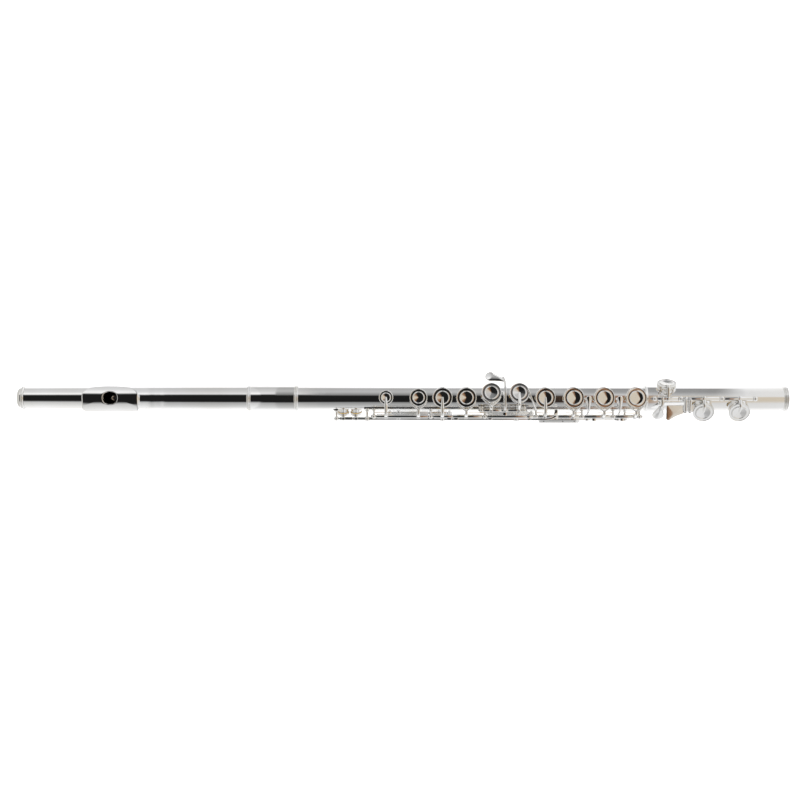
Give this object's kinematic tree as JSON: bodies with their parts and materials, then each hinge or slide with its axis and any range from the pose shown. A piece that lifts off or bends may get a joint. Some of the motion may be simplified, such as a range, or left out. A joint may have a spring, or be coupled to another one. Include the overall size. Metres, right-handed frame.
{
  "type": "concert flute",
  "caption": "Silver plated concert flute with closed cups on sprung key work, offset G and a C foot, with a sliding head and turning foot.",
  "frame": {"origin": "centre of the foot joint's open end, on the bore's axis", "axes": "+X out of the foot's open end along the bore, +Y away from the player's side to the far side, +Z the way the key cups face"},
  "size_m": [0.67, 0.0446, 0.0381],
  "materials": {
    "head_tube": "mirror silver plate",
    "lip_plate": "mirror silver plate",
    "embouchure_riser": "mirror silver plate",
    "crown": "mirror silver plate",
    "stopper_screw": "mirror silver plate",
    "stopper_cork": "matt cork",
    "body_tube": "mirror silver plate",
    "barrel": "mirror silver plate",
    "barrel_rings": "mirror silver plate",
    "tenon_sleeve": "mirror silver plate",
    "key_ribs": "mirror silver plate",
    "body_posts": "mirror silver plate",
    "left_hand_steel": "polished",
    "right_hand_steel": "polished",
    "g_steel": "polished",
    "back_steels": "polished",
    "needle_springs": "polished",
    "c_key": "mirror silver plate",
    "c_pad": "matt gold skin",
    "b_flat_key": "mirror silver plate",
    "b_flat_pad": "matt gold skin",
    "a_key": "mirror silver plate",
    "a_pad": "matt gold skin",
    "g_key": "mirror silver plate",
    "g_pad": "matt gold skin",
    "lower_g_key": "mirror silver plate",
    "lower_g_pad": "matt gold skin",
    "g_sharp_lever": "mirror silver plate",
    "g_sharp_key": "mirror silver plate",
    "g_sharp_pad": "matt gold skin",
    "f_sharp_key": "mirror silver plate",
    "f_sharp_pad": "matt gold skin",
    "f_key": "mirror silver plate",
    "f_pad": "matt gold skin",
    "e_key": "mirror silver plate",
    "e_pad": "matt gold skin",
    "d_key": "mirror silver plate",
    "d_pad": "matt gold skin",
    "b_flat_side_lever": "mirror silver plate",
    "thumb_b_key": "mirror silver plate",
    "thumb_b_pad": "matt gold skin",
    "thumb_b_flat_lever": "mirror silver plate",
    "d_trill_key": "mirror silver plate",
    "d_trill_pad": "matt gold skin",
    "d_sharp_trill_key": "mirror silver plate",
    "d_sharp_trill_pad": "matt gold skin",
    "foot_tube": "mirror silver plate",
    "foot_socket": "mirror silver plate",
    "foot_end_ring": "mirror silver plate",
    "foot_posts": "mirror silver plate",
    "foot_steel": "polished",
    "foot_springs": "polished",
    "e_flat_key": "mirror silver plate",
    "e_flat_pad": "matt gold skin",
    "low_c_sharp_key": "mirror silver plate",
    "low_c_sharp_pad": "matt gold skin",
    "low_c_sharp_roller": "mirror silver plate",
    "low_c_key": "mirror silver plate",
    "low_c_pad": "matt gold skin",
    "low_c_roller": "mirror silver plate"
  },
  "bodies": {
    "body_joint": {"body_tube": "body_tube", "barrel": "barrel", "barrel_rings": "barrel_rings", "tenon_sleeve": "tenon_sleeve", "key_ribs": "key_ribs", "body_posts": "body_posts", "left_hand_steel": "left_hand_steel", "right_hand_steel": "right_hand_steel", "g_steel": "g_steel", "back_steels": "back_steels", "needle_springs": "needle_springs"},
    "head_joint": {"head_tube": "head_tube", "lip_plate": "lip_plate", "embouchure_riser": "embouchure_riser"},
    "crown_cap": {"crown": "crown"},
    "stopper": {"stopper_screw": "stopper_screw", "stopper_cork": "stopper_cork"},
    "foot_joint": {"foot_tube": "foot_tube", "foot_socket": "foot_socket", "foot_end_ring": "foot_end_ring", "foot_posts": "foot_posts", "foot_steel": "foot_steel", "foot_springs": "foot_springs"},
    "c_touch": {"c_key": "c_key", "c_pad": "c_pad"},
    "b_flat": {"b_flat_key": "b_flat_key", "b_flat_pad": "b_flat_pad"},
    "a": {"a_key": "a_key", "a_pad": "a_pad"},
    "g": {"g_key": "g_key", "g_pad": "g_pad"},
    "lower_g": {"lower_g_key": "lower_g_key", "lower_g_pad": "lower_g_pad"},
    "g_sharp_touch": {"g_sharp_lever": "g_sharp_lever"},
    "g_sharp": {"g_sharp_key": "g_sharp_key", "g_sharp_pad": "g_sharp_pad"},
    "f_sharp": {"f_sharp_key": "f_sharp_key", "f_sharp_pad": "f_sharp_pad"},
    "f": {"f_key": "f_key", "f_pad": "f_pad"},
    "e": {"e_key": "e_key", "e_pad": "e_pad"},
    "d": {"d_key": "d_key", "d_pad": "d_pad"},
    "side_b_flat": {"b_flat_side_lever": "b_flat_side_lever"},
    "thumb_b": {"thumb_b_key": "thumb_b_key", "thumb_b_pad": "thumb_b_pad"},
    "thumb_b_flat": {"thumb_b_flat_lever": "thumb_b_flat_lever"},
    "d_trill": {"d_trill_key": "d_trill_key", "d_trill_pad": "d_trill_pad"},
    "d_sharp_trill": {"d_sharp_trill_key": "d_sharp_trill_key", "d_sharp_trill_pad": "d_sharp_trill_pad"},
    "e_flat": {"e_flat_key": "e_flat_key", "e_flat_pad": "e_flat_pad"},
    "low_c_sharp": {"low_c_sharp_key": "low_c_sharp_key", "low_c_sharp_pad": "low_c_sharp_pad"},
    "low_c": {"low_c_key": "low_c_key", "low_c_pad": "low_c_pad"},
    "low_c_sharp_roll": {"low_c_sharp_roller": "low_c_sharp_roller"},
    "low_c_roll": {"low_c_roller": "low_c_roller"}
  },
  "joints": [
    {"name": "tuning_slide", "type": "slide", "parent": "body_joint", "child": "head_joint", "axis": [-1, 0, 0], "range_m": [0, 0.012]},
    {"name": "foot_turn", "type": "hinge", "parent": "body_joint", "child": "foot_joint", "pos_m": [-0.119, 0, 0], "axis": [1, 0, 0], "range_deg": [-15, 15]},
    {"name": "crown_turn", "type": "hinge", "parent": "head_joint", "child": "crown_cap", "pos_m": [-0.6634, 0, 0], "axis": [1, 0, 0], "range_deg": [-540, 540]},
    {"name": "stopper_slide", "type": "slide", "parent": "head_joint", "child": "stopper", "axis": [1, 0, 0], "range_m": [-0.00106, 0.00106]},
    {"name": "c_press", "type": "hinge", "parent": "body_joint", "child": "c_touch", "pos_m": [-0.3351, -0.0156, 0.007], "axis": [-1, 0, 0], "range_deg": [0, 8.1], "stiffness_Nm_per_rad": 0.012},
    {"name": "b_flat_press", "type": "hinge", "parent": "body_joint", "child": "b_flat", "pos_m": [-0.2997, -0.0156, 0.007], "axis": [-1, 0, 0], "range_deg": [0, 8.1], "stiffness_Nm_per_rad": 0.012},
    {"name": "a_press", "type": "hinge", "parent": "body_joint", "child": "a", "pos_m": [-0.2785, -0.0156, 0.007], "axis": [-1, 0, 0], "range_deg": [0, 8.1], "stiffness_Nm_per_rad": 0.012},
    {"name": "g_press", "type": "hinge", "parent": "body_joint", "child": "g", "pos_m": [-0.2567, -0.0101, 0.0094], "axis": [-1, 0, 0], "range_deg": [0, 9.9], "stiffness_Nm_per_rad": 0.012},
    {"name": "lower_g_press", "type": "hinge", "parent": "body_joint", "child": "lower_g", "pos_m": [-0.2377, -0.0101, 0.0094], "axis": [-1, 0, 0], "range_deg": [0, 9.9], "stiffness_Nm_per_rad": 0.012},
    {"name": "g_sharp_touch_press", "type": "hinge", "parent": "body_joint", "child": "g_sharp_touch", "pos_m": [-0.2463, -0.0101, 0.0094], "axis": [-1, 0, 0], "range_deg": [0, 6], "stiffness_Nm_per_rad": 0.012},
    {"name": "g_sharp_open", "type": "hinge", "parent": "body_joint", "child": "g_sharp", "pos_m": [-0.242, -0.0128, -0.0074], "axis": [-1, 0, 0], "range_deg": [0, 6], "stiffness_Nm_per_rad": 0.012},
    {"name": "f_sharp_press", "type": "hinge", "parent": "body_joint", "child": "f_sharp", "pos_m": [-0.2084, -0.0156, 0.007], "axis": [-1, 0, 0], "range_deg": [0, 8.1], "stiffness_Nm_per_rad": 0.012},
    {"name": "f_press", "type": "hinge", "parent": "body_joint", "child": "f", "pos_m": [-0.1906, -0.0156, 0.007], "axis": [-1, 0, 0], "range_deg": [0, 8.1], "stiffness_Nm_per_rad": 0.012},
    {"name": "e_press", "type": "hinge", "parent": "body_joint", "child": "e", "pos_m": [-0.1658, -0.0156, 0.007], "axis": [-1, 0, 0], "range_deg": [0, 8.1], "stiffness_Nm_per_rad": 0.012},
    {"name": "d_press", "type": "hinge", "parent": "body_joint", "child": "d", "pos_m": [-0.1409, -0.0156, 0.007], "axis": [-1, 0, 0], "range_deg": [0, 8.1], "stiffness_Nm_per_rad": 0.012},
    {"name": "side_b_flat_press", "type": "hinge", "parent": "body_joint", "child": "side_b_flat", "pos_m": [-0.2413, -0.0156, 0.007], "axis": [-1, 0, 0], "range_deg": [0, 5], "stiffness_Nm_per_rad": 0.012},
    {"name": "thumb_b_press", "type": "hinge", "parent": "body_joint", "child": "thumb_b", "pos_m": [-0.3278, -0.0128, -0.0074], "axis": [1, 0, 0], "range_deg": [0, 7.9], "stiffness_Nm_per_rad": 0.012},
    {"name": "thumb_b_flat_press", "type": "hinge", "parent": "body_joint", "child": "thumb_b_flat", "pos_m": [-0.3038, -0.0128, -0.0074], "axis": [1, 0, 0], "range_deg": [0, 7.9], "stiffness_Nm_per_rad": 0.012},
    {"name": "d_trill_open", "type": "hinge", "parent": "body_joint", "child": "d_trill", "pos_m": [-0.2749, -0.0176, 0.0005], "axis": [-1, 0, 0], "range_deg": [0, 6], "stiffness_Nm_per_rad": 0.012},
    {"name": "d_sharp_trill_open", "type": "hinge", "parent": "body_joint", "child": "d_sharp_trill", "pos_m": [-0.2669, -0.0176, 0.0005], "axis": [-1, 0, 0], "range_deg": [0, 6], "stiffness_Nm_per_rad": 0.012},
    {"name": "e_flat_open", "type": "hinge", "parent": "foot_joint", "child": "e_flat", "pos_m": [-0.106, 0, 0.0144], "axis": [1, 0, 0], "range_deg": [0, 8], "stiffness_Nm_per_rad": 0.012},
    {"name": "low_c_sharp_press", "type": "hinge", "parent": "foot_joint", "child": "low_c_sharp", "pos_m": [-0.0753, 0, 0.0144], "axis": [1, 0, 0], "range_deg": [0, 12.9], "stiffness_Nm_per_rad": 0.012},
    {"name": "low_c_press", "type": "hinge", "parent": "foot_joint", "child": "low_c", "pos_m": [-0.0618, 0, 0.0144], "axis": [1, 0, 0], "range_deg": [0, 12.9], "stiffness_Nm_per_rad": 0.012},
    {"name": "low_c_sharp_roll_spin", "type": "hinge", "parent": "low_c_sharp", "child": "low_c_sharp_roll", "pos_m": [-0.0874, -0.00597, 0.01701], "axis": [0, 0.9781, 0.2079], "continuous": true},
    {"name": "low_c_roll_spin", "type": "hinge", "parent": "low_c", "child": "low_c_roll", "pos_m": [-0.0911, -0.00597, 0.01701], "axis": [0, 0.9781, 0.2079], "continuous": true}
  ],
  "couplings": [
    {"joint": "stopper_slide", "follows": "crown_turn", "m_per_rad": 0.00011141},
    {"joint": "b_flat_press", "follows": "a_press", "ratio": 1},
    {"joint": "lower_g_press", "follows": "g_press", "ratio": 1},
    {"joint": "g_sharp_open", "follows": "g_sharp_touch_press", "ratio": 1},
    {"joint": "f_sharp_press", "follows": "f_press", "ratio": 1},
    {"joint": "thumb_b_press", "follows": "thumb_b_flat_press", "ratio": 1},
    {"joint": "low_c_sharp_press", "follows": "low_c_press", "ratio": 1}
  ]
}
